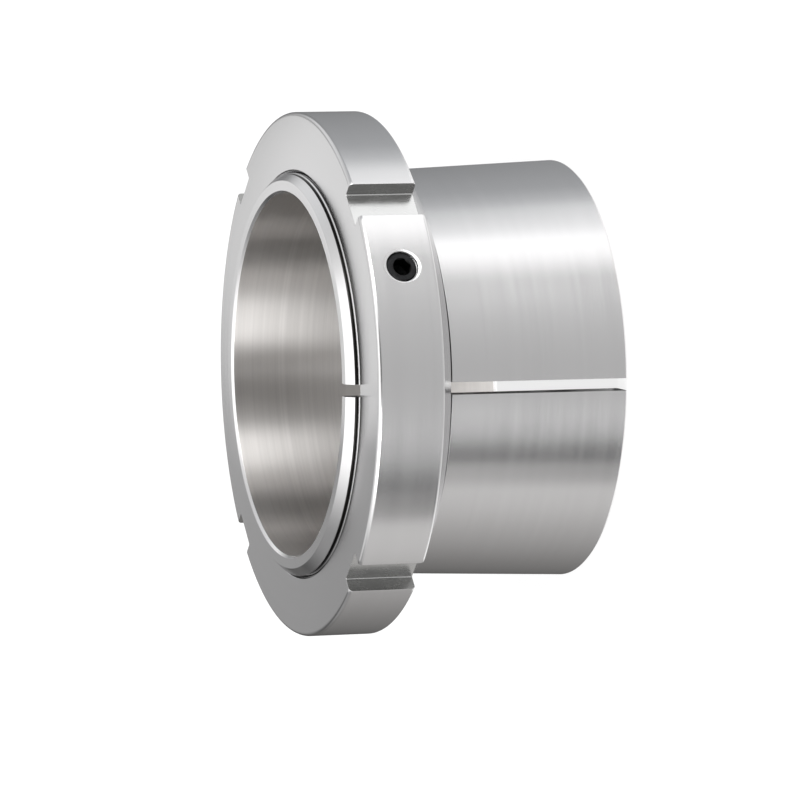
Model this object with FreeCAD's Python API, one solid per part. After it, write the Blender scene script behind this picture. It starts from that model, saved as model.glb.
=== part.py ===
import FreeCAD, Part
import math
import os

# Bearing adapter sleeve with a slotted lock nut, standing on the sleeve's big end.
# Z runs up the common axis from the big end's face, and the sleeve's slot faces -Y.
# Lengths are in millimetres and angles in degrees.

# Sleeve
bore_diameter = 90.0
sleeve_length = 71.0
big_end_wall = 7.1  # from the bore to the outside, at the big end's face
taper_ratio = 12.0  # length over which the outside loses 1 in diameter
big_end_edge_break = 0.4  # at the outer edge of the big end
bore_edge_break = 0.6
slot_width = 3.0

# Thread that the sleeve and the nut share, plain here at its outer diameter
thread_wall = 5.0  # from the bore to the thread's crests
thread_length = 26.5  # from the small end to the taper, relief included
thread_lead_chamfer = 1.9
relief_depth = 1.4
relief_width = 1.5  # flat floor between the relief's two flanks

# Lock nut
nut_setback = 2.9  # from the small end down to the nut's front face
flange_width = 17.0
flange_wall = 15.0  # from the thread's crests out to the rim
rim_radius = 1.0
thread_clearance = 0.05
front_chamfer = 0.75
back_chamfer = 0.5
collar_height = 5.0
collar_root_wall = 10.0  # wall where the collar's cone leaves the flange
collar_face_wall = 4.0  # wall at the face that bears on the bearing
collar_edge_break = 0.3

# Spanner notches in the rim
notch_count = 4
notch_angle = 45.0  # of the first notch, from the slot
notch_width = 10.0
notch_depth = 4.0
notch_corner_radius = 0.4

# Locking screw and the insert that it presses on the thread
lock_angle = 28.0  # from the slot towards +X
screw_diameter = 8.0
screw_length = 8.0
screw_recess = 0.9  # from the rim down to the screw's head
screw_clearance = 0.05
screw_head_chamfer = 0.5
screw_tip_chamfer = 0.8
countersink_diameter = 9.2
socket_across_flats = 4.0
socket_depth = 4.0
socket_chamfer = 0.3
socket_turn = 10.0  # of a socket corner, from the rim's own direction
insert_diameter = 6.5
insert_clearance = 0.05
insert_end_chamfer = 0.4
insert_lift = 0.2  # from the nut's bore back to the insert's tip at rest
lock_travel = 0.7  # room under the screw before it meets the step in its hole

# Radii and heights that follow
bore_radius = bore_diameter / 2
thread_radius = bore_radius + thread_wall
relief_radius = thread_radius - relief_depth
taper_end = sleeve_length - thread_length
big_end_radius = bore_radius + big_end_wall
taper_end_radius = big_end_radius - taper_end / taper_ratio / 2
nut_front = sleeve_length - nut_setback
flange_back = nut_front - flange_width
collar_face = flange_back - collar_height
nut_bore_radius = thread_radius + thread_clearance
rim = thread_radius + flange_wall
screw_head = rim - screw_recess
screw_tip = screw_head - screw_length
insert_tip = nut_bore_radius + insert_lift
lock_height = flange_back + flange_width / 2
lock_direction = FreeCAD.Vector(
    math.sin(math.radians(lock_angle)), -math.cos(math.radians(lock_angle)), 0
)
up = FreeCAD.Vector(0, 0, 1)
cut_margin = 1.0  # how far a cutter stands proud of what it cuts


def turned(profile):
    """Solid of revolution about Z from a closed outline of radius and height pairs."""
    points = [FreeCAD.Vector(radius, 0, height) for radius, height in profile]
    outline = Part.makePolygon(points + [points[0]])
    return Part.Face(outline).revolve(FreeCAD.Vector(), up, 360)


def round_circle(solid, radius, height, size):
    """Fillet on the full circle edge of the given radius at the given height."""
    edges = [
        edge
        for edge in solid.Edges
        if isinstance(edge.Curve, Part.Circle)
        and abs(edge.Curve.Radius - radius) < 1e-6
        and abs(edge.Curve.Center.z - height) < 1e-6
    ]
    return solid.makeFillet(size, edges)


def on_lock_axis(solid):
    """Moves a solid turned about Z so that its Z lies along the locking screw's axis."""
    turn = FreeCAD.Rotation(up, lock_direction)
    solid.Placement = FreeCAD.Placement(FreeCAD.Vector(0, 0, lock_height), turn)
    return solid


def sleeve():
    break_drop = big_end_edge_break / taper_ratio / 2
    flank = taper_end_radius - relief_radius
    relief_start = taper_end + flank
    relief_stop = relief_start + relief_width
    thread_start = relief_stop + relief_depth
    body = turned([
        (bore_radius + bore_edge_break, 0),
        (big_end_radius - big_end_edge_break, 0),
        (big_end_radius - break_drop, big_end_edge_break),
        (taper_end_radius, taper_end),
        (relief_radius, relief_start),
        (relief_radius, relief_stop),
        (thread_radius, thread_start),
        (thread_radius, sleeve_length - thread_lead_chamfer),
        (thread_radius - thread_lead_chamfer, sleeve_length),
        (bore_radius + bore_edge_break, sleeve_length),
        (bore_radius, sleeve_length - bore_edge_break),
        (bore_radius, bore_edge_break),
    ])
    reach = big_end_radius + cut_margin
    corner = FreeCAD.Vector(-slot_width / 2, -reach, -cut_margin)
    slot = Part.makeBox(slot_width, reach, sleeve_length + 2 * cut_margin, corner)
    return body.cut(slot)


def nut_blank():
    """The nut as it leaves the lathe, before its notches and its screw hole."""
    collar_root = thread_radius + collar_root_wall
    collar_edge = thread_radius + collar_face_wall
    blank = turned([
        (nut_bore_radius + back_chamfer, collar_face),
        (collar_edge - collar_edge_break, collar_face),
        (collar_edge, collar_face + collar_edge_break),
        (collar_root, flange_back),
        (rim, flange_back),
        (rim, nut_front),
        (nut_bore_radius + front_chamfer, nut_front),
        (nut_bore_radius, nut_front - front_chamfer),
        (nut_bore_radius, collar_face + back_chamfer),
    ])
    blank = round_circle(blank, rim, nut_front, rim_radius)
    return round_circle(blank, rim, flange_back, rim_radius)


def notch_cutter(angle):
    """Cutter for one spanner notch, open outwards, with rounded corners at its floor."""
    floor = rim - notch_depth
    cutter = Part.makeBox(
        notch_width,
        notch_depth + cut_margin,
        flange_width + cut_margin,
        FreeCAD.Vector(-notch_width / 2, -rim - cut_margin, flange_back),
    )
    corners = [
        edge
        for edge in cutter.Edges
        if abs(edge.CenterOfMass.y + floor) < 1e-6 and edge.tangentAt(0).isParallel(up, 1e-6)
    ]
    cutter = cutter.makeFillet(notch_corner_radius, corners)
    cutter.rotate(FreeCAD.Vector(), up, angle)
    return cutter


def lock_hole():
    """Stepped hole for the locking screw and its insert, countersunk at the rim."""
    screw_hole_radius = screw_diameter / 2 + screw_clearance
    insert_hole_radius = insert_diameter / 2 + insert_clearance
    step = screw_tip - lock_travel
    mouth_radius = countersink_diameter / 2
    mouth_depth = mouth_radius - screw_hole_radius
    return on_lock_axis(turned([
        (0, bore_radius),
        (insert_hole_radius, bore_radius),
        (insert_hole_radius, step),
        (screw_hole_radius, step),
        (screw_hole_radius, rim - mouth_depth),
        (mouth_radius, rim),
        (mouth_radius, rim + cut_margin),
        (0, rim + cut_margin),
    ]))


def lock_nut():
    spacing = 360 / notch_count
    notches = [notch_cutter(notch_angle + spacing * place) for place in range(notch_count)]
    return nut_blank().cut(notches + [lock_hole()])


def hexagon_cutter(across_flats, turn, bottom, top):
    """Six-sided prism about Z between two heights, with a corner at the given angle."""
    corner_radius = across_flats / math.sqrt(3)
    corners = [
        FreeCAD.Vector(
            corner_radius * math.cos(math.radians(turn + 60 * side)),
            corner_radius * math.sin(math.radians(turn + 60 * side)),
            bottom,
        )
        for side in range(7)
    ]
    return Part.Face(Part.makePolygon(corners)).extrude(up * (top - bottom))


def locking_screw():
    radius = screw_diameter / 2
    body = turned([
        (0, screw_tip),
        (radius - screw_tip_chamfer, screw_tip),
        (radius, screw_tip + screw_tip_chamfer),
        (radius, screw_head - screw_head_chamfer),
        (radius - screw_head_chamfer, screw_head),
        (0, screw_head),
    ])
    socket_floor = screw_head - socket_depth
    turn = lock_angle + socket_turn
    socket = hexagon_cutter(socket_across_flats, turn, socket_floor, screw_head + cut_margin)
    corner_radius = socket_across_flats / math.sqrt(3)
    drill_radius = socket_across_flats / 2
    drill_point = turned([
        (0, socket_floor - drill_radius / math.sqrt(3)),
        (drill_radius, socket_floor),
        (0, socket_floor),
    ])
    mouth = turned([
        (0, screw_head - socket_chamfer),
        (corner_radius, screw_head - socket_chamfer),
        (corner_radius + socket_chamfer, screw_head),
        (0, screw_head),
    ])
    return on_lock_axis(body.cut([socket, drill_point, mouth]))


def locking_insert():
    radius = insert_diameter / 2
    pin = on_lock_axis(turned([
        (0, bore_radius),
        (radius, bore_radius),
        (radius, screw_tip - insert_end_chamfer),
        (radius - insert_end_chamfer, screw_tip),
        (0, screw_tip),
    ]))
    thread_side = Part.makeCylinder(insert_tip, sleeve_length)
    return pin.cut(thread_side)


pieces = {
    "sleeve": sleeve(),
    "lock_nut": lock_nut(),
    "locking_screw": locking_screw(),
    "locking_insert": locking_insert(),
}

os.makedirs("parts", exist_ok=True)
for name, shape in pieces.items():
    solid = shape.Solids[0]
    solid.exportStep(os.path.join("parts", name + ".step"))
    print(name, len(shape.Solids), "solid", round(solid.Volume), "cubic mm", solid.isValid())
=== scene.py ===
import math
import bpy
from mathutils import Matrix, Vector


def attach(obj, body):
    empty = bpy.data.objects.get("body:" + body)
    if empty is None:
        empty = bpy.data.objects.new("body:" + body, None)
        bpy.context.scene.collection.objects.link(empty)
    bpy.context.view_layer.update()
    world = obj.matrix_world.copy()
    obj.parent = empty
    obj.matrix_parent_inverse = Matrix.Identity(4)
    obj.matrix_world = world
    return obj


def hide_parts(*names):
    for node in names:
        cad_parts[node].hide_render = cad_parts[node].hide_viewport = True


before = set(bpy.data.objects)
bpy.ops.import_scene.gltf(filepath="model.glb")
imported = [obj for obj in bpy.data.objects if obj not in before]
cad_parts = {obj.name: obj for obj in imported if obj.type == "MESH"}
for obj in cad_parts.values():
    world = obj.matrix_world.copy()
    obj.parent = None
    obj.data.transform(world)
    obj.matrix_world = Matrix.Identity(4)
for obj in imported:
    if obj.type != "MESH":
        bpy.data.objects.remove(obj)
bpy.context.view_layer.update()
print("frame loaded")

# sizes in this file are in millimetres and angles in degrees, unless a note says otherwise
mm = 0.001

# how finely corners are rounded, when points count as one, and where edges are eased or smooth
drawing = {
    "arcStep": 25, "fineArcStep": 11, "fineFrom": 0.4,   # roundings over this get the finer steps
    "mergeWithin": 0.002, "windingMerge": 0.0001, "easeOver": 32, "smoothUnder": 28,
    "facingIn": -0.8, "notFacingIn": -0.1,   # leans of a face, as finishFaces measures them
}


def clearSelection():
    if bpy.context.object and bpy.context.object.mode != "OBJECT":
        bpy.ops.object.mode_set(mode="OBJECT")
    bpy.ops.object.select_all(action="DESELECT")


def pick(piece):
    clearSelection()
    piece.select_set(True)
    bpy.context.view_layer.objects.active = piece


def softened(outline):
    # each corner is radius, height and rounding; a rounded corner becomes a short arc
    points = []
    count = len(outline)
    for place in range(count):
        radius, height, rounding = outline[place]
        here = Vector((radius, height))
        if rounding == 0:
            points.append((radius, height))
            continue
        before = (Vector(outline[place - 1][:2]) - here).normalized()
        after = (Vector(outline[(place + 1) % count][:2]) - here).normalized()
        opening = before.angle(after)
        reach = rounding / math.tan(opening / 2)
        centre = here + (before + after).normalized() * rounding / math.sin(opening / 2)
        start = here + before * reach - centre
        end = here + after * reach - centre
        turn = start.angle_signed(end)
        arcStep = drawing["fineArcStep"] if rounding > drawing["fineFrom"] else drawing["arcStep"]
        steps = max(2, round(abs(math.degrees(turn)) / arcStep))
        for step in range(steps + 1):
            spoke = start.copy()
            spoke.rotate(Matrix.Rotation(-turn * step / steps, 2))
            points.append(tuple(centre + spoke))
    return points


def startCircle(name, first, segments, fillType):
    # a new circle at the first ring's radius and height, left in edit mode with all of it selected
    clearSelection()
    radius, height = first
    bpy.ops.mesh.primitive_circle_add(
        vertices=segments, radius=radius * mm, fill_type=fillType, location=(0, 0, height * mm),
    )
    piece = bpy.context.object
    piece.name = name
    bpy.ops.object.transform_apply(location=True, rotation=True, scale=True)
    bpy.ops.object.mode_set(mode="EDIT")
    bpy.ops.mesh.select_all(action="SELECT")
    return piece


def drawAlong(first, rings):
    # extrudes the selected circle from ring to ring, each a radius and a height
    radius, height = first
    for nextRadius, nextHeight in rings:
        rise = (nextHeight - height) * mm
        bpy.ops.mesh.extrude_region_move(TRANSFORM_OT_translate={"value": (0, 0, rise)})
        grow = nextRadius / radius
        bpy.ops.transform.resize(value=(grow, grow, 1), center_override=(0, 0, nextHeight * mm))
        radius, height = nextRadius, nextHeight
    bpy.ops.mesh.select_all(action="SELECT")


def closeUp(piece, material):
    bpy.ops.mesh.normals_make_consistent(inside=False)
    bpy.ops.object.mode_set(mode="OBJECT")
    piece.data.materials.append(material)


def turnRing(name, outline, segments, material):
    # a hollow body of revolution about Z, drawn round its section and closed on itself
    rings = softened(outline)
    piece = startCircle(name, rings[0], segments, "NOTHING")
    drawAlong(rings[0], rings[1:] + rings[:1])
    bpy.ops.mesh.remove_doubles(threshold=drawing["mergeWithin"] * mm)
    closeUp(piece, material)
    return piece


def turnSolid(name, rings, segments, material):
    # a full body of revolution, from a flat disc up through its rings
    piece = startCircle(name, rings[0], segments, "NGON")
    drawAlong(rings[0], rings[1:])
    closeUp(piece, material)
    return piece


def threadCutter(name, thread, material):
    # a right-hand groove, wound round Z by the screw modifier and closed at both ends;
    # its section is a list of corners, each a radius and a height from the groove's middle
    clearSelection()
    bpy.ops.mesh.primitive_circle_add(vertices=len(thread["section"]), radius=mm, location=(0, 0, 0))
    piece = bpy.context.object
    piece.name = name
    for vertex, (radius, height) in zip(piece.data.vertices, thread["section"]):
        vertex.co = (radius * mm, 0, (thread["start"] + height) * mm)
    winding = piece.modifiers.new("winding", "SCREW")
    winding.axis = "Z"
    winding.angle = math.radians(360)
    winding.screw_offset = thread["pitch"] * mm
    winding.iterations = thread["turns"]
    winding.steps = winding.render_steps = thread["segments"]
    winding.use_merge_vertices = True
    winding.merge_threshold = drawing["windingMerge"] * mm
    bpy.ops.object.modifier_apply(modifier="winding")
    bpy.ops.object.mode_set(mode="EDIT")
    bpy.ops.mesh.select_all(action="DESELECT")
    bpy.ops.mesh.select_non_manifold()
    bpy.ops.mesh.fill_holes(sides=0)
    bpy.ops.mesh.select_all(action="SELECT")
    closeUp(piece, material)
    turnAbout(piece, thread["startAngle"])
    return piece


def blockAt(middle, size):
    # a block to cut with, still scaled as an object
    clearSelection()
    bpy.ops.mesh.primitive_cube_add(
        size=1, location=[value * mm for value in middle], scale=[value * mm for value in size],
    )
    return bpy.context.object


def turnAbout(piece, angle):
    piece.data.transform(Matrix.Rotation(math.radians(angle), 4, "Z"))
    piece.data.update()


def layAlong(piece, direction, height):
    # turns a piece made about Z so that its Z points along direction, and lifts it
    turn = Vector((0, 0, 1)).rotation_difference(direction)
    piece.data.transform(Matrix.Translation((0, 0, height * mm)) @ turn.to_matrix().to_4x4())
    piece.data.update()


def cutBy(piece, cutter):
    # the faces that a cut leaves take the cutter's finish
    pick(piece)
    cut = piece.modifiers.new("cut", "BOOLEAN")
    cut.operation = "DIFFERENCE"
    cut.solver = "EXACT"
    cut.material_mode = "TRANSFER"
    cut.object = cutter
    bpy.ops.object.modifier_apply(modifier="cut")
    bpy.data.objects.remove(cutter)


def easeEdges(piece, width, steps):
    pick(piece)
    ease = piece.modifiers.new("ease", "BEVEL")
    ease.width = width * mm
    ease.segments = steps
    ease.limit_method = "ANGLE"
    ease.angle_limit = math.radians(drawing["easeOver"])
    bpy.ops.object.modifier_apply(modifier="ease")


def finishFaces(piece, material, wanted):
    # the faces whose radius, height and lean are wanted get a finish of their own;
    # the lean is 1 for a face that looks straight away from the axis and -1 for one that faces it
    piece.data.materials.append(material)
    index = len(piece.data.materials) - 1
    for face in piece.data.polygons:
        radius = math.hypot(face.center.x, face.center.y)
        facing = face.center.x * face.normal.x + face.center.y * face.normal.y
        lean = facing / max(radius, 1e-9)
        if wanted(radius / mm, face.center.z / mm, lean):
            face.material_index = index


def smoothOver(piece):
    # flat faces keep their own normals beside the small roundings
    pick(piece)
    bpy.ops.object.shade_smooth_by_angle(angle=math.radians(drawing["smoothUnder"]))
    weighted = piece.modifiers.new("weighted", "WEIGHTED_NORMAL")
    weighted.keep_sharp = True
    weighted.weight = 100
    bpy.ops.object.modifier_apply(modifier="weighted")


# owner is the material or world whose nodes these add to
def addNode(owner, kind, place, **settings):
    node = owner.node_tree.nodes.new(kind)
    node.location = place
    for name, value in settings.items():
        setattr(node, name, value)
    return node


def mathNode(owner, operation, place, first, second=None, clamp=False):
    # each input is a number or another node's socket
    node = addNode(owner, "ShaderNodeMath", place, operation=operation, use_clamp=clamp)
    for index, value in enumerate((first, second)):
        if value is None:
            continue
        if isinstance(value, (int, float)):
            node.inputs[index].default_value = value
        else:
            owner.node_tree.links.new(value, node.inputs[index])
    return node.outputs[0]


def noiseNode(owner, place, source, scale, detail, roughness=0.5):
    # a single number as the source gives noise along one line
    node = addNode(owner, "ShaderNodeTexNoise", place)
    if source.type == "VALUE":
        node.noise_dimensions = "1D"
        owner.node_tree.links.new(source, node.inputs["W"])
    else:
        owner.node_tree.links.new(source, node.inputs["Vector"])
    node.inputs["Scale"].default_value = scale
    node.inputs["Detail"].default_value = detail
    node.inputs["Roughness"].default_value = roughness
    return node.outputs[0]


def rangeNode(owner, place, source, fromMin, fromMax, toMin, toMax):
    node = addNode(owner, "ShaderNodeMapRange", place)
    owner.node_tree.links.new(source, node.inputs["Value"])
    limits = {"From Min": fromMin, "From Max": fromMax, "To Min": toMin, "To Max": toMax}
    for name, value in limits.items():
        node.inputs[name].default_value = value
    return node.outputs[0]


def bumpNode(owner, place, height, depth):
    node = addNode(owner, "ShaderNodeBump", place)
    node.inputs["Distance"].default_value = depth * mm
    owner.node_tree.links.new(height, node.inputs["Height"])
    return node.outputs[0]


def newMaterial(name):
    material = bpy.data.materials.new(name)
    material.use_nodes = True
    return material, material.node_tree.nodes["Principled BSDF"]


def perMetre(spacing):
    return 1000 / spacing   # a noise's scale, from the spacing of its marks


# what all turned faces share; each finish below has its own colour, gloss and spacings
toolMarks = {
    "slant": 1.618,   # how fast the marks change with the radius, where 1 is along the axis
    "coarse": 0.4, "fine": 0.25, "scratches": 0.35, "clouds": 0.06,
    "coarseDetail": 3, "fineDetail": 4, "fineRoughness": 0.65,
    "scratchScale": 1.6, "scratchDetail": 5, "scratchRoughness": 0.6,
    "cloudScale": 38, "cloudDetail": 4, "cloudDulling": 0.5,
    "unevenness": (0.45, 1.05), "glossier": 0.02, "duller": 0.03,   # about the finish's roughness
}


def turnedSteel(name, finish):
    material, shader = newMaterial(name)
    link = material.node_tree.links.new
    coordinates = addNode(material, "ShaderNodeTexCoord", (-2000, 0))
    place = coordinates.outputs["Object"]
    parts = addNode(material, "ShaderNodeSeparateXYZ", (-1800, 0))
    link(place, parts.inputs[0])
    x, y, z = parts.outputs
    xSquared = mathNode(material, "MULTIPLY", (-1600, 240), x, x)
    ySquared = mathNode(material, "MULTIPLY", (-1600, 80), y, y)
    squares = mathNode(material, "ADD", (-1450, 160), xSquared, ySquared)
    radius = mathNode(material, "SQRT", (-1300, 160), squares)

    # the tool's marks keep one value all the way round and change with height and radius
    slanted = mathNode(material, "MULTIPLY", (-1150, 120), radius, toolMarks["slant"])
    along = mathNode(material, "ADD", (-1000, 60), z, slanted)
    coarse = noiseNode(material, (-600, 360), along, perMetre(finish["coarseSpacing"]),
                       toolMarks["coarseDetail"])
    fine = noiseNode(material, (-600, 120), along, perMetre(finish["fineSpacing"]),
                     toolMarks["fineDetail"], toolMarks["fineRoughness"])

    # scratches start and stop on the way round, so they also follow the angle
    turnAngle = mathNode(material, "ARCTAN2", (-1150, -160), x, y)
    around = addNode(material, "ShaderNodeCombineXYZ", (-800, -160))
    scratchRow = mathNode(material, "MULTIPLY", (-1000, -120), along, perMetre(finish["scratchSpacing"]))
    link(scratchRow, around.inputs[0])
    link(mathNode(material, "SINE", (-1000, -260), turnAngle), around.inputs[1])
    link(mathNode(material, "COSINE", (-1000, -400), turnAngle), around.inputs[2])
    scratches = noiseNode(material, (-600, -120), around.outputs[0], toolMarks["scratchScale"],
                          toolMarks["scratchDetail"], toolMarks["scratchRoughness"])
    clouds = noiseNode(material, (-600, -380), place, toolMarks["cloudScale"],
                       toolMarks["cloudDetail"])

    coarseShare = mathNode(material, "MULTIPLY", (-400, 340), coarse, toolMarks["coarse"])
    fineShare = mathNode(material, "MULTIPLY", (-400, 160), fine, toolMarks["fine"])
    scratchShare = mathNode(material, "MULTIPLY", (-400, -20), scratches, toolMarks["scratches"])
    turned = mathNode(material, "ADD", (-260, 240), coarseShare, fineShare)
    marks = mathNode(material, "ADD", (-150, 200), turned, scratchShare)

    # the shade swings about 1, with the marks and with faint clouds
    cloudSwing = mathNode(material, "SUBTRACT", (-400, -380), clouds, 0.5)
    cloudShade = mathNode(material, "MULTIPLY", (-260, -380), cloudSwing, toolMarks["clouds"])
    markSwing = mathNode(material, "SUBTRACT", (0, 100), marks, 0.5)
    markShade = mathNode(material, "MULTIPLY", (140, 100), markSwing, finish["streaks"])
    shade = mathNode(material, "ADD", (280, 60), markShade, 1.0)
    shade = mathNode(material, "ADD", (420, 40), shade, cloudShade)
    tint = addNode(material, "ShaderNodeVectorMath", (720, 60), operation="SCALE")
    tint.inputs[0].default_value = finish["colour"]
    link(shade, tint.inputs["Scale"])
    link(tint.outputs[0], shader.inputs["Base Color"])

    cloudDulling = mathNode(material, "MULTIPLY", (280, -320), clouds, toolMarks["cloudDulling"])
    unevenness = mathNode(material, "ADD", (420, -260), marks, cloudDulling)
    rough = rangeNode(material, (560, -260), unevenness, *toolMarks["unevenness"],
                      finish["roughness"] - toolMarks["glossier"],
                      finish["roughness"] + toolMarks["duller"])
    link(rough, shader.inputs["Roughness"])
    link(bumpNode(material, (720, -420), marks, finish["markDepth"]), shader.inputs["Normal"])

    # the marks run round the axis, so the gloss is drawn out across them
    wayRound = addNode(material, "ShaderNodeCombineXYZ", (280, -620))
    link(mathNode(material, "MULTIPLY", (140, -620), y, -1.0), wayRound.inputs[0])
    link(x, wayRound.inputs[1])
    unit = addNode(material, "ShaderNodeVectorMath", (420, -620), operation="NORMALIZE")
    link(wayRound.outputs[0], unit.inputs[0])
    toWorld = addNode(material, "ShaderNodeVectorTransform", (560, -620),
                      vector_type="VECTOR", convert_from="OBJECT", convert_to="WORLD")
    link(unit.outputs[0], toWorld.inputs[0])
    link(toWorld.outputs[0], shader.inputs["Tangent"])
    shader.inputs["Metallic"].default_value = 1.0
    shader.inputs["Anisotropic"].default_value = finish["drawnOut"]
    shader.inputs["Anisotropic Rotation"].default_value = 0.25
    return material


# what the grained finishes share
graining = {
    "grain": 0.6, "patches": 0.4, "grainDetail": 6, "patchDetail": 3,
    "darkAt": 0.35, "lightAt": 0.65, "unevenness": (0.3, 0.7), "glossier": 0.06, "duller": 0.08,
}


def grainedMetal(name, finish):
    # milled, sawn and blackened faces: an even grain, darker in patches
    material, shader = newMaterial(name)
    link = material.node_tree.links.new
    coordinates = addNode(material, "ShaderNodeTexCoord", (-1300, 0))
    place = coordinates.outputs["Object"]
    stretch = addNode(material, "ShaderNodeMapping", (-1100, 0))
    link(place, stretch.inputs["Vector"])
    stretch.inputs["Scale"].default_value = finish["stretch"]
    grain = noiseNode(material, (-850, 0), stretch.outputs[0], perMetre(finish["grain"]),
                      graining["grainDetail"])
    patches = noiseNode(material, (-850, -260), place, perMetre(finish["patch"]),
                        graining["patchDetail"])
    grainShare = mathNode(material, "MULTIPLY", (-720, 60), grain, graining["grain"])
    patchShare = mathNode(material, "MULTIPLY", (-720, -120), patches, graining["patches"])
    both = mathNode(material, "ADD", (-600, 0), grainShare, patchShare)
    shades = addNode(material, "ShaderNodeValToRGB", (-440, 0))
    darkEnd, lightEnd = shades.color_ramp.elements
    darkEnd.position, darkEnd.color = graining["darkAt"], (*finish["dark"], 1)
    lightEnd.position, lightEnd.color = graining["lightAt"], (*finish["light"], 1)
    link(both, shades.inputs[0])
    link(shades.outputs[0], shader.inputs["Base Color"])
    rough = rangeNode(material, (-120, -260), both, *graining["unevenness"],
                      finish["roughness"] - graining["glossier"],
                      finish["roughness"] + graining["duller"])
    link(rough, shader.inputs["Roughness"])
    link(bumpNode(material, (-120, -520), grain, finish["grainDepth"]), shader.inputs["Normal"])
    shader.inputs["Metallic"].default_value = 1.0
    return material


sleeveSteel = turnedSteel("turnedSleeveSteel", {
    "colour": (0.662, 0.657, 0.66), "roughness": 0.21, "drawnOut": 0.75, "markDepth": 0.002,
    "coarseSpacing": 2.6, "fineSpacing": 0.45, "scratchSpacing": 1.1, "streaks": 0.1,
})
boreSteel = turnedSteel("boredSleeveSteel", {
    "colour": (0.6, 0.582, 0.567), "roughness": 0.32, "drawnOut": 0.95, "markDepth": 0.002,
    "coarseSpacing": 1.8, "fineSpacing": 0.5, "scratchSpacing": 0.8, "streaks": 0.35,
})
nutSteel = turnedSteel("turnedNutSteel", {
    "colour": (0.662, 0.657, 0.66), "roughness": 0.21, "drawnOut": 0.75, "markDepth": 0.002,
    "coarseSpacing": 3.2, "fineSpacing": 0.5, "scratchSpacing": 1.3, "streaks": 0.1,
})
# near black: dark oil in the threads, and painted shade in the grooves, the relief and the gap between
# nut and sleeve
oilAndShadeSteel = turnedSteel("oiledAndShadedThreadSteel", {
    "colour": (0.05, 0.049, 0.047), "roughness": 0.36, "drawnOut": 0.4, "markDepth": 0.004,
    "coarseSpacing": 2.0, "fineSpacing": 0.4, "scratchSpacing": 1.0, "streaks": 0.5,
})
# two copies of one milled finish: the notch walls much darker than the steel, as painted shade, and the
# floor at about the steel's own tone
milledShadedWallSteel = grainedMetal("milledNotchWallShadedSteel", {
    "dark": (0.26, 0.26, 0.255), "light": (0.31, 0.31, 0.305), "stretch": (1.0, 1.0, 0.12),
    "grain": 0.9, "patch": 6.0, "grainDepth": 0.001, "roughness": 0.24,
})
# the floor copy also paints a highlight on the corner roundings
milledFloorAndCornerHighlightSteel = grainedMetal("milledNotchFloorAndCornerHighlightSteel", {
    "dark": (0.6, 0.6, 0.595), "light": (0.64, 0.64, 0.635), "stretch": (1.0, 1.0, 0.12),
    "grain": 0.9, "patch": 6.0, "grainDepth": 0.001, "roughness": 0.24,
})
# paler than the nut's steel: a painted highlight that makes the countersink a white ring
countersinkHighlightSteel = grainedMetal("countersinkHighlightSteel", {
    "dark": (0.82, 0.82, 0.82), "light": (0.88, 0.88, 0.88), "stretch": (1.0, 1.0, 1.0),
    "grain": 0.5, "patch": 3.0, "grainDepth": 0.001, "roughness": 0.5,
})
# near black: partly the sawn faces' own darker tone, mostly painted shade in the narrow slot
sawnShadedSteel = grainedMetal("sawnSlotShadedSteel", {
    "dark": (0.02, 0.02, 0.019), "light": (0.05, 0.049, 0.047), "stretch": (1.0, 0.2, 1.0),
    "grain": 0.5, "patch": 4.0, "grainDepth": 0.004, "roughness": 0.42,
})
screwBlack = grainedMetal("screwBlackOxide", {
    "dark": (0.02, 0.02, 0.021), "light": (0.04, 0.04, 0.042), "stretch": (1.0, 1.0, 1.0),
    "grain": 0.35, "patch": 2.5, "grainDepth": 0.005, "roughness": 0.4,
})
# blacker than the screw: dark oil, and painted shade in the socket's hollow
socketOilAndShadeBlack = grainedMetal("screwSocketOilAndShadeBlack", {
    "dark": (0.006, 0.006, 0.006), "light": (0.012, 0.012, 0.012), "stretch": (1.0, 1.0, 1.0),
    "grain": 0.3, "patch": 2.0, "grainDepth": 0.004, "roughness": 0.4,
})
insertBrass = grainedMetal("insertTurnedBrass", {
    "dark": (0.60, 0.43, 0.19), "light": (0.74, 0.56, 0.28), "stretch": (1.0, 1.0, 1.0),
    "grain": 0.6, "patch": 3.0, "grainDepth": 0.004, "roughness": 0.3,
})
print("finishes mixed")

sleeve = {
    "boreRadius": 45.0, "length": 71.0, "boreBreak": 0.6, "segments": 256,
    "bigEndRadius": 52.1, "bigEndBreak": 0.4, "taper": 24.0,   # the radius loses 1 in 24
    "taperEnd": 44.5, "reliefRadius": 48.6, "reliefFloor": 1.5, "reliefFlank": 1.4,
    "threadRadius": 50.0, "leadChamfer": 1.9,
    "cornerRounding": 0.1, "bigEndRounding": 0.15, "reliefRounding": 0.3,
    "crestRounding": 0.08, "smallEndRounding": 0.12, "edgeEase": 0.05, "easeSteps": 2,
    "boreFinishWithin": 0.2, "reliefShadeShort": 0.02,
    "slotWidth": 3.0, "slotOverSide": 4.0, "slotOverEnds": 3.0,   # the cutter's reach past the steel
}
taperEndRadius = sleeve["bigEndRadius"] - sleeve["taperEnd"] / sleeve["taper"]
reliefStart = sleeve["taperEnd"] + taperEndRadius - sleeve["reliefRadius"]
reliefStop = reliefStart + sleeve["reliefFloor"]
threadStart = reliefStop + sleeve["reliefFlank"]
bigEndDrop = sleeve["bigEndBreak"] / sleeve["taper"]
boreMouth = sleeve["boreRadius"] + sleeve["boreBreak"]
corner = sleeve["cornerRounding"]
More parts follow.
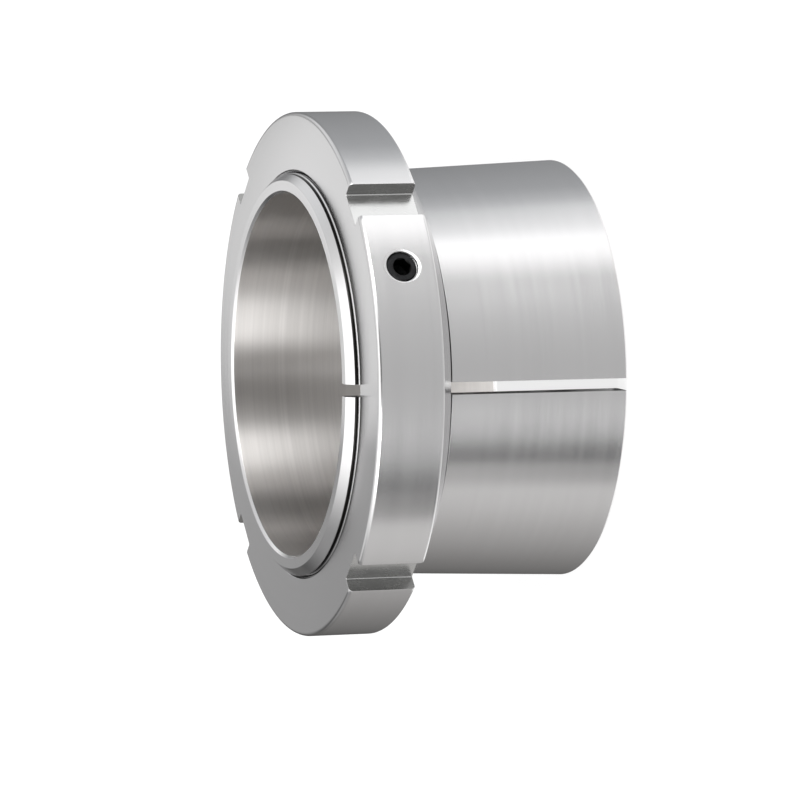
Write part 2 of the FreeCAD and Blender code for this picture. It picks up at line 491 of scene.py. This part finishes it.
sleeveBody = turnRing("sleeveBody", [
    (boreMouth, 0, corner),
    (sleeve["bigEndRadius"] - sleeve["bigEndBreak"], 0, sleeve["bigEndRounding"]),
    (sleeve["bigEndRadius"] - bigEndDrop, sleeve["bigEndBreak"], sleeve["bigEndRounding"]),
    (taperEndRadius, sleeve["taperEnd"], corner),
    (sleeve["reliefRadius"], reliefStart, sleeve["reliefRounding"]),
    (sleeve["reliefRadius"], reliefStop, sleeve["reliefRounding"]),
    (sleeve["threadRadius"], threadStart, corner),
    (sleeve["threadRadius"], sleeve["length"] - sleeve["leadChamfer"], sleeve["crestRounding"]),
    (sleeve["threadRadius"] - sleeve["leadChamfer"], sleeve["length"], sleeve["smallEndRounding"]),
    (boreMouth, sleeve["length"], corner),
    (sleeve["boreRadius"], sleeve["length"] - sleeve["boreBreak"], corner),
    (sleeve["boreRadius"], sleeve["boreBreak"], corner),
], sleeve["segments"], sleeveSteel)
finishFaces(sleeveBody, boreSteel, lambda radius, height, lean: (
    radius < sleeve["boreRadius"] + sleeve["boreFinishWithin"] and lean < drawing["facingIn"]))
# the relief beside the nut's collar is painted near black, as painted shade in the gap under the collar
finishFaces(sleeveBody, oilAndShadeSteel, lambda radius, height, lean: (
    radius < taperEndRadius - sleeve["reliefShadeShort"]
    and sleeve["taperEnd"] < height < threadStart and lean > drawing["notFacingIn"]))

# the slot runs the sleeve's whole length
slotReach = sleeve["bigEndRadius"] + sleeve["slotOverSide"]
slotCutter = blockAt(
    (0, -slotReach / 2, sleeve["length"] / 2),
    (sleeve["slotWidth"], slotReach, sleeve["length"] + 2 * sleeve["slotOverEnds"]),
)
# the slot's walls are painted near black, mostly as painted shade
slotCutter.data.materials.append(sawnShadedSteel)
cutBy(sleeveBody, slotCutter)
easeEdges(sleeveBody, sleeve["edgeEase"], sleeve["easeSteps"])

# a thread's section is its groove's, by radius and height; start is the height of the groove's
# middle at the start angle, which is turned from +X. This one also breaks the crests' upper edge
sleeveThread = {
    "section": [(49.2, -0.12), (49.2, 0.12), (50.2, 0.68), (50.2, -0.9), (49.75, -0.45)],
    "pitch": 2.0, "start": 46.6, "turns": 13, "startAngle": -90.0, "segments": 128,
    "breakFrom": 49.76, "breakLean": (0.6, 0.8),
}
# the sleeve's thread grooves are painted near black, as oil and painted shade
cutBy(sleeveBody, threadCutter("sleeveThreadCutter", sleeveThread, oilAndShadeSteel))
leastLean, mostLean = sleeveThread["breakLean"]
finishFaces(sleeveBody, sleeveSteel, lambda radius, height, lean: (
    sleeveThread["breakFrom"] < radius < sleeve["threadRadius"]
    and leastLean < lean < mostLean and height > threadStart))
smoothOver(sleeveBody)
print("sleeve turned, slit and threaded")

nut = {
    "boreRadius": 50.05, "rim": 65.0, "front": 68.1, "back": 51.1, "face": 46.1, "segments": 256,
    "frontChamfer": 0.75, "backChamfer": 0.5, "collarEdge": 54.0, "collarRoot": 60.0,
    "boreRounding": 0.08, "rimRounding": 1.0, "rootRounding": 0.8, "faceEdgeRounding": 0.3,
    "edgeEase": 0.12, "easeSteps": 2, "boreFinishWithin": 0.05,
}
boreCorner = nut["boreRounding"]
nutBody = turnRing("nutBody", [
    (nut["boreRadius"] + nut["backChamfer"], nut["face"], boreCorner),
    (nut["collarEdge"], nut["face"], nut["faceEdgeRounding"]),
    (nut["collarRoot"], nut["back"], nut["rootRounding"]),
    (nut["rim"], nut["back"], nut["rimRounding"]),
    (nut["rim"], nut["front"], nut["rimRounding"]),
    (nut["boreRadius"] + nut["frontChamfer"], nut["front"], boreCorner),
    (nut["boreRadius"], nut["front"] - nut["frontChamfer"], boreCorner),
    (nut["boreRadius"], nut["face"] + nut["backChamfer"], boreCorner),
], nut["segments"], nutSteel)
# the nut's bore is painted near black, as oil and painted shade in the gap at the sleeve
finishFaces(nutBody, oilAndShadeSteel, lambda radius, height, lean: (
    radius < nut["boreRadius"] + nut["boreFinishWithin"] and lean < drawing["facingIn"]))

notch = {
    "count": 4, "firstAngle": 45.0, "width": 10.0, "depth": 4.0,
    "cornerRounding": 0.4, "cornerSteps": 6, "cornerWithin": 1.0, "overRim": 4.0, "cutterHeight": 24.0,
    # the floor's copy reaches up its corners, where it is a painted highlight on the corner line, and
    # stops short of the flange's back
    "finishBelow": 0.1, "finishUp": 0.5, "finishShort": 0.2, "finishLean": 0.35,
}
notchFloor = nut["rim"] - notch["depth"]
notchReach = nut["rim"] + notch["overRim"]
for place in range(notch["count"]):
    notchCutter = blockAt(
        (0, -(notchFloor + notchReach) / 2, nut["back"] + notch["cutterHeight"] / 2),
        (notch["width"], notchReach - notchFloor, notch["cutterHeight"]),
    )
    bpy.ops.object.transform_apply(location=True, rotation=True, scale=True)
    # the two upright edges at the notch's floor are picked and rounded
    for edge in notchCutter.data.edges:
        ends = [notchCutter.data.vertices[index].co for index in edge.vertices]
        upright = abs(ends[0].z - ends[1].z) > mm
        edge.select = upright and all(end.y > -(notchFloor + notch["cornerWithin"]) * mm for end in ends)
    for face in notchCutter.data.polygons:
        face.select = False
    bpy.context.tool_settings.mesh_select_mode = (False, True, False)
    bpy.ops.object.mode_set(mode="EDIT")
    bpy.ops.mesh.bevel(
        offset=notch["cornerRounding"] * mm, segments=notch["cornerSteps"], affect="EDGES",
    )
    bpy.ops.object.mode_set(mode="OBJECT")
    # the cut walls take the darker copy, painted shade
    notchCutter.data.materials.append(milledShadedWallSteel)
    turnAbout(notchCutter, notch["firstAngle"] + 360 / notch["count"] * place)
    cutBy(nutBody, notchCutter)
easeEdges(nutBody, nut["edgeEase"], nut["easeSteps"])
# the floor and its corner roundings take the lighter copy, a painted highlight on the corners
finishFaces(nutBody, milledFloorAndCornerHighlightSteel, lambda radius, height, lean: (
    notchFloor - notch["finishBelow"] < radius < notchFloor + notch["finishUp"]
    and height > nut["back"] + notch["finishShort"] and lean > notch["finishLean"]))

# an odd number of half pitches from the sleeve's groove, so that its ridges face that groove
nutThread = {
    "section": [(50.72, -0.2), (50.72, 0.2), (49.95, 0.65), (49.95, -0.65)],
    "pitch": 2.0, "start": 43.6, "turns": 13, "startAngle": -90.0, "segments": 128,
}
# the nut's thread grooves are painted near black, as oil and painted shade
cutBy(nutBody, threadCutter("nutThreadCutter", nutThread, oilAndShadeSteel))
print("nut turned, notched and threaded")

# the locking screw's axis leaves the nut 28 degrees from the slot, half way up the flange;
# the places along it, here and for the threads and the screw, are measured from the sleeve's middle
lock = {
    "angle": 28.0, "height": 59.6, "segments": 96,
    "bottom": 46.0, "step": 55.4, "threadEnd": 63.4, "runOut": 0.4, "sinkDepth": 0.4, "overRim": 1.0,
    "insertHole": 3.3, "crest": 3.38, "clear": 4.0, "mouth": 4.65, "overFlare": 1.6,   # radii
}
lockAngle = math.radians(lock["angle"])
lockDirection = Vector((math.sin(lockAngle), -math.cos(lockAngle), 0))
# the hole's walls and countersink take the paler copy, a painted highlight
holeCutter = turnSolid("lockHoleCutter", [
    (lock["insertHole"], lock["bottom"]),
    (lock["insertHole"], lock["step"]),
    (lock["crest"], lock["step"]),
    (lock["crest"], lock["threadEnd"]),
    (lock["clear"], lock["threadEnd"] + lock["runOut"]),
    (lock["clear"], nut["rim"] - lock["sinkDepth"]),
    (lock["mouth"], nut["rim"]),
    (lock["mouth"] + lock["overFlare"], nut["rim"] + lock["overRim"]),
], lock["segments"], countersinkHighlightSteel)
layAlong(holeCutter, lockDirection, lock["height"])
cutBy(nutBody, holeCutter)

lockThread = {
    "pitch": 1.25, "start": 54.9, "turns": 9, "startAngle": 0.0, "segments": 64,
    "outer": 4.06, "holeInner": 3.2, "screwRoot": 3.24,   # radii
    "holeFlat": 0.13, "screwFlat": 0.09, "flankRise": 0.577,   # half widths, and the flanks' tangent
}


def lockGroove(bottom, mouth, flat, lift):
    # a groove between two radii, which opens from its bottom to its mouth
    opening = flat + abs(bottom - mouth) * lockThread["flankRise"]
    section = [(bottom, -flat), (bottom, flat), (mouth, opening), (mouth, -opening)]
    return {**lockThread, "section": section, "start": lockThread["start"] + lift}


holeThread = lockGroove(lockThread["outer"], lockThread["holeInner"], lockThread["holeFlat"], 0)
# the tapped hole's grooves are painted near black, as oil and painted shade
holeThreadCutter = threadCutter("holeThreadCutter", holeThread, oilAndShadeSteel)
layAlong(holeThreadCutter, lockDirection, lock["height"])
cutBy(nutBody, holeThreadCutter)
smoothOver(nutBody)
print("nut drilled and tapped")

screw = {
    "radius": 3.95, "head": 64.45, "tip": 56.1, "headChamfer": 0.5, "tipChamfer": 0.8, "segments": 96,
    "acrossFlats": 4.0, "socketDepth": 4.0, "socketTurn": 10.0, "drillTip": 0.05, "drillDepth": 1.1,
    "mouthChamfer": 0.55, "mouthOver": 0.3, "mouthSegments": 48, "overHead": 1.0, "socketSides": 6,
}
screwBody = turnSolid("screwBody", [
    (screw["radius"] - screw["tipChamfer"], screw["tip"]),
    (screw["radius"], screw["tip"] + screw["tipChamfer"]),
    (screw["radius"], screw["head"] - screw["headChamfer"]),
    (screw["radius"] - screw["headChamfer"], screw["head"]),
], screw["segments"], screwBlack)
# half a pitch on from the hole's groove, so that each thread's ridge lies in the other's groove
screwThread = lockGroove(
    lockThread["screwRoot"], lockThread["outer"], lockThread["screwFlat"], lockThread["pitch"] / 2,
)
cutBy(screwBody, threadCutter("screwThreadCutter", screwThread, screwBlack))
cornerRadius = screw["acrossFlats"] / math.sqrt(3)
socketFloor = screw["head"] - screw["socketDepth"]
# the socket and its mouth are painted near black, as oil and painted shade
socketCutter = turnSolid("socketCutter", [
    (screw["drillTip"], socketFloor - screw["drillDepth"]),
    (cornerRadius, socketFloor),
    (cornerRadius, screw["head"] + screw["overHead"]),
], screw["socketSides"], socketOilAndShadeBlack)
turnAbout(socketCutter, lock["angle"] + screw["socketTurn"])
cutBy(screwBody, socketCutter)
cutBy(screwBody, turnSolid("socketMouthCutter", [
    (cornerRadius - screw["mouthChamfer"], screw["head"] - screw["mouthChamfer"]),
    (cornerRadius, screw["head"]),
    (cornerRadius + screw["mouthOver"], screw["head"] + screw["mouthOver"]),
], screw["mouthSegments"], socketOilAndShadeBlack))
layAlong(screwBody, lockDirection, lock["height"])
smoothOver(screwBody)
print("locking screw made")

finished = (
    (sleeveBody, "sleeve", "sleeve", "sleeve_steel"),
    (nutBody, "nut", "lock_nut", "nut_steel"),
    (screwBody, "screw", "locking_screw", "black_oxide_steel"),
)
for piece, body, node, slotName in finished:
    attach(piece, body)
    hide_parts(node)
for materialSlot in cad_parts["locking_insert"].material_slots:
    materialSlot.material = insertBrass
print("pieces set in the frame")

# the camera stands where the photograph was taken from, rolled because the part lay on its side
shot = {
    "azimuth": 5.390897, "elevation": 18.534505, "roll": -1.662445, "distance": 1551.2486,
    "target": (-7.156318, 0.0, 40.929884), "lens": 279.77, "sensor": 36,
    "nearest": 0.01, "farthest": 100,   # metres
}
cameraAzimuth, cameraElevation = math.radians(shot["azimuth"]), math.radians(shot["elevation"])
toCamera = Vector((
    math.sin(cameraAzimuth) * math.cos(cameraElevation),
    -math.cos(cameraAzimuth) * math.cos(cameraElevation),
    math.sin(cameraElevation),
))
ahead = -toCamera
down = Vector((0, 0, -1))
level = (down - down.dot(ahead) * ahead).normalized()   # the picture's right, before the roll
upright = level.cross(ahead)
roll = math.radians(shot["roll"])
cameraRight = math.cos(roll) * level + math.sin(roll) * upright
cameraUp = cameraRight.cross(ahead)
cameraPlace = (Vector(shot["target"]) + toCamera * shot["distance"]) * mm
cameraData = bpy.data.cameras.new("photoCamera")
cameraData.sensor_width = shot["sensor"]
cameraData.lens = shot["lens"]
cameraData.clip_start, cameraData.clip_end = shot["nearest"], shot["farthest"]
camera = bpy.data.objects.new("photoCamera", cameraData)
bpy.context.collection.objects.link(camera)
camera.matrix_world = Matrix((
    (cameraRight.x, cameraUp.x, toCamera.x, cameraPlace.x),
    (cameraRight.y, cameraUp.y, toCamera.y, cameraPlace.y),
    (cameraRight.z, cameraUp.z, toCamera.z, cameraPlace.z),
    (0, 0, 0, 1),
))
bpy.context.scene.camera = camera

# a plain pale floor under the standing part, which glows a little where it is seen or mirrored
ground = {"size": 60, "height": -0.2, "tone": 0.9, "glow": 1.04, "glowShare": 0.8}   # size in metres
clearSelection()
bpy.ops.mesh.primitive_plane_add(size=ground["size"], location=(0, 0, ground["height"] * mm))
floor = bpy.context.object
floor.name = "paleFloor"
floorPaint, floorShader = newMaterial("paleFloorPaint")
floorPaint.node_tree.nodes.remove(floorShader)
floorLink = floorPaint.node_tree.links.new
paint = addNode(floorPaint, "ShaderNodeBsdfDiffuse", (-300, 100))
paint.inputs["Color"].default_value = (ground["tone"], ground["tone"], ground["tone"], 1)
glow = addNode(floorPaint, "ShaderNodeEmission", (-300, -60))
glow.inputs["Strength"].default_value = ground["glow"]
rays = addNode(floorPaint, "ShaderNodeLightPath", (-900, 200)).outputs
seen = mathNode(floorPaint, "ADD", (-700, 200), rays["Is Camera Ray"], rays["Is Glossy Ray"])
seen = mathNode(floorPaint, "ADD", (-600, 200), seen, rays["Is Transmission Ray"], clamp=True)
mixed = addNode(floorPaint, "ShaderNodeMixShader", (-100, 100))
floorLink(mathNode(floorPaint, "MULTIPLY", (-450, 200), seen, ground["glowShare"]), mixed.inputs[0])
floorLink(paint.outputs[0], mixed.inputs[1])
floorLink(glow.outputs[0], mixed.inputs[2])
floorLink(mixed.outputs[0], floorPaint.node_tree.nodes["Material Output"].inputs[0])
floor.data.materials.append(floorPaint)
floor.visible_glossy = False   # the steel mirrors the studio's panels, which the world below draws

# inside the standing sleeve the bore mirrors a darker grey disc, painted shade for the floor in the
# sleeve's shadow; two glowing cards on it light the wall behind the slot and, through the slot, the
# nut's collar
dim = {"radius": 44.8, "height": -0.1, "tone": 0.25, "roughness": 0.9, "segments": 96}
clearSelection()
bpy.ops.mesh.primitive_circle_add(
    vertices=dim["segments"], radius=dim["radius"] * mm, fill_type="NGON",
    location=(0, 0, dim["height"] * mm),
)
shadedFloor = bpy.context.object
shadedFloor.name = "shadedFloor"
shadedPaint, shadedShader = newMaterial("shadedFloorPaint")
shadedShader.inputs["Base Color"].default_value = (dim["tone"], dim["tone"], dim["tone"], 1)
shadedShader.inputs["Roughness"].default_value = dim["roughness"]
shadedFloor.data.materials.append(shadedPaint)
shadedFloor.visible_camera = False

cardHeight = -0.05
cards = {
    "wallCard": {"middle": (-3.2, 25.5), "size": (9, 40), "turn": 17.7, "glow": 1.0},
    "collarCard": {"middle": (0, -28), "size": (8, 28), "turn": 0.0, "glow": 0.75},
}
for name, look in cards.items():
    clearSelection()
    bpy.ops.mesh.primitive_plane_add(
        size=1, location=(look["middle"][0] * mm, look["middle"][1] * mm, cardHeight * mm),
        rotation=(0, 0, math.radians(look["turn"])),
    )
    card = bpy.context.object
    card.name = name
    card.scale = (look["size"][0] * mm, look["size"][1] * mm, 1)
    cardPaint, cardShader = newMaterial(name + "Paint")
    cardShader.inputs["Emission Color"].default_value = (1, 1, 1, 1)
    cardShader.inputs["Emission Strength"].default_value = look["glow"]
    card.data.materials.append(cardPaint)
    card.visible_camera = False

# the studio: panels of light by direction, a low row for the turned sides and a high one for
# the bore and the nut's face
studio = {
    # each panel's bearing from the camera, tone, and how cool its white is
    "low": [
        (-180, 0.08, -0.02), (-160, 0.1, -0.02), (-125, 0.29, -0.02), (-90, 0.57, -0.015),
        (-70, 0.77, -0.01), (-56, 0.72, -0.01), (-50.5, 0.04, -0.01), (-45, 0.03, -0.01),
        (-37, 0.4, 0), (-24, 0.58, 0), (-10, 0.63, 0), (0, 0.64, 0), (25, 0.71, 0), (51, 0.74, 0),
        (65, 1.5, 0), (74, 1.7, 0.005), (82, 0.95, 0.015), (94, 0.56, 0.025), (146, 0.3, 0.02),
        (180, 0.1, 0),
    ],
    "high": [
        (-180, 0.41, 0), (-165, 0.3, 0), (-150, 0.08, 0), (-130, 0.4, 0), (-112, 0.35, 0),
        (-98, 0.3, 0), (-77, 0.9, 0), (-58, 1.8, 0), (-48, 6.2, 0), (-26, 6.8, 0), (-15, 0.6, 0),
        (0, 0.0, 0), (15, 0.2, 0), (30, 1.6, 0), (41, 7.0, 0), (56, 7.0, 0), (68, 1.6, 0),
        (84, 0.6, 0.01), (100, 0.75, 0.01), (125, 0.95, 0.01), (142, 1.0, 0.01), (160, 0.5, 0),
        (180, 0.41, 0),
    ],
    # tones by the direction's Y, which grows away from the camera: from, to, tone at from and at to
    "underneath": (-0.1, 0.3, 0.75, 1.4), "overhead": (-0.25, 0.05, 1.9, 0.95),
    # by the direction's Z: the heights over which each tone or row takes over from the one below
    "lowBlend": (-0.72, -0.52), "highBlend": (0.0, 0.2), "overheadBlend": (0.56, 0.8),
    # lower down the panels reach further round, so the nut sees them wider than the sleeve does:
    # the heights where that starts and is whole, then in turns the bearing from, to and their shifts
    "leanHeights": (-0.275, -0.32),
    "leanLeft": (-0.19, 0.0, 0.045, 0.0), "leanRight": (0.18, 0.264, 0.0, -0.072),
    "strength": 1.0,
}
world = bpy.data.worlds.new("studioPanels")
bpy.context.scene.world = world
world.use_nodes = True
worldLink = world.node_tree.links.new
direction = addNode(world, "ShaderNodeTexCoord", (-1400, 0))
sides = addNode(world, "ShaderNodeSeparateXYZ", (-1200, 0))
worldLink(direction.outputs["Generated"], sides.inputs[0])
sideX, sideY, sideZ = sides.outputs

# the bearing in turns from the camera's own, between -0.5 and 0.5
towardY = mathNode(world, "MULTIPLY", (-1100, 0), sideY, -1.0)
bearing = mathNode(world, "ARCTAN2", (-1000, 100), sideX, towardY)
bearing = mathNode(world, "SUBTRACT", (-920, 100), bearing, cameraAzimuth)
turn = mathNode(world, "DIVIDE", (-850, 100), bearing, 2 * math.pi)
turn = mathNode(world, "ADD", (-820, 100), turn, 1.5)
turn = mathNode(world, "FRACT", (-780, 100), turn)
turn = mathNode(world, "SUBTRACT", (-700, 100), turn, 0.5)
# the low row's lean
foot = rangeNode(world, (-900, -200), sideZ, *studio["leanHeights"], 0.0, 1.0)
leftShift = rangeNode(world, (-1000, -60), turn, *studio["leanLeft"])
rightShift = rangeNode(world, (-1000, -300), turn, *studio["leanRight"])
shift = mathNode(world, "ADD", (-800, -60), leftShift, rightShift)
shift = mathNode(world, "MULTIPLY", (-700, -60), shift, foot)
turn = mathNode(world, "ADD", (-620, 100), turn, shift)
turn = mathNode(world, "ADD", (-540, 100), turn, 0.5)


def panelRamp(tones, place):
    ramp = addNode(world, "ShaderNodeValToRGB", place)
    worldLink(turn, ramp.inputs[0])
    elements = ramp.color_ramp.elements
    while len(elements) > 1:
        elements.remove(elements[0])
    for index, (angle, tone, coolness) in enumerate(tones):
        position = (angle + 180) / 360
        element = elements[0] if index == 0 else elements.new(position)
        element.position = position
        element.color = (tone * (1 - coolness), tone, tone * (1 + coolness), 1)
    return ramp.outputs[0]


def blendByHeight(lower, upper, heights, place):
    # lower and upper are each a socket with a colour or a tone
    before = (place[0] - 200, place[1])
    rise = addNode(world, "ShaderNodeMapRange", before, interpolation_type="SMOOTHSTEP")
    worldLink(sideZ, rise.inputs["Value"])
    rise.inputs["From Min"].default_value, rise.inputs["From Max"].default_value = heights
    mix = addNode(world, "ShaderNodeMix", place, data_type="RGBA")
    worldLink(rise.outputs[0], mix.inputs["Factor"])
    worldLink(lower, mix.inputs["A"])
    worldLink(upper, mix.inputs["B"])
    return mix.outputs["Result"]


underneath = rangeNode(world, (-900, 600), sideY, *studio["underneath"])
overhead = rangeNode(world, (-400, -300), sideY, *studio["overhead"])
lowRow = panelRamp(studio["low"], (-600, 400))
highRow = panelRamp(studio["high"], (-600, -100))
panels = blendByHeight(underneath, lowRow, studio["lowBlend"], (-500, 250))
panels = blendByHeight(panels, highRow, studio["highBlend"], (-250, 100))
panels = blendByHeight(panels, overhead, studio["overheadBlend"], (0, 100))
worldRays = addNode(world, "ShaderNodeLightPath", (0, 400))
backdrop = addNode(world, "ShaderNodeMix", (250, 100), data_type="RGBA")
worldLink(worldRays.outputs["Is Camera Ray"], backdrop.inputs["Factor"])
worldLink(panels, backdrop.inputs["A"])
backdrop.inputs["B"].default_value = (1, 1, 1, 1)
background = world.node_tree.nodes["Background"]
worldLink(backdrop.outputs["Result"], background.inputs["Color"])
background.inputs["Strength"].default_value = studio["strength"]

# one small soft lamp close behind the part, which the nut's face mirrors on its near upper side
faceLight = {"place": (16, 197, 164), "size": 110, "energy": 0.0175}   # energy in watts
clearSelection()
bpy.ops.object.light_add(type="AREA", location=Vector(faceLight["place"]) * mm)
faceLamp = bpy.context.object
faceLamp.name = "faceLamp"
faceLamp.data.shape = "DISK"
faceLamp.data.size = faceLight["size"] * mm
faceLamp.data.energy = faceLight["energy"]
fromFace = faceLamp.location - Vector((0, 0, nut["front"] * mm))
faceLamp.rotation_euler = fromFace.to_track_quat("Z", "Y").to_euler()
faceLamp.visible_camera = False

bpy.context.scene.view_settings.view_transform = "Standard"
print("camera, floor and light set")
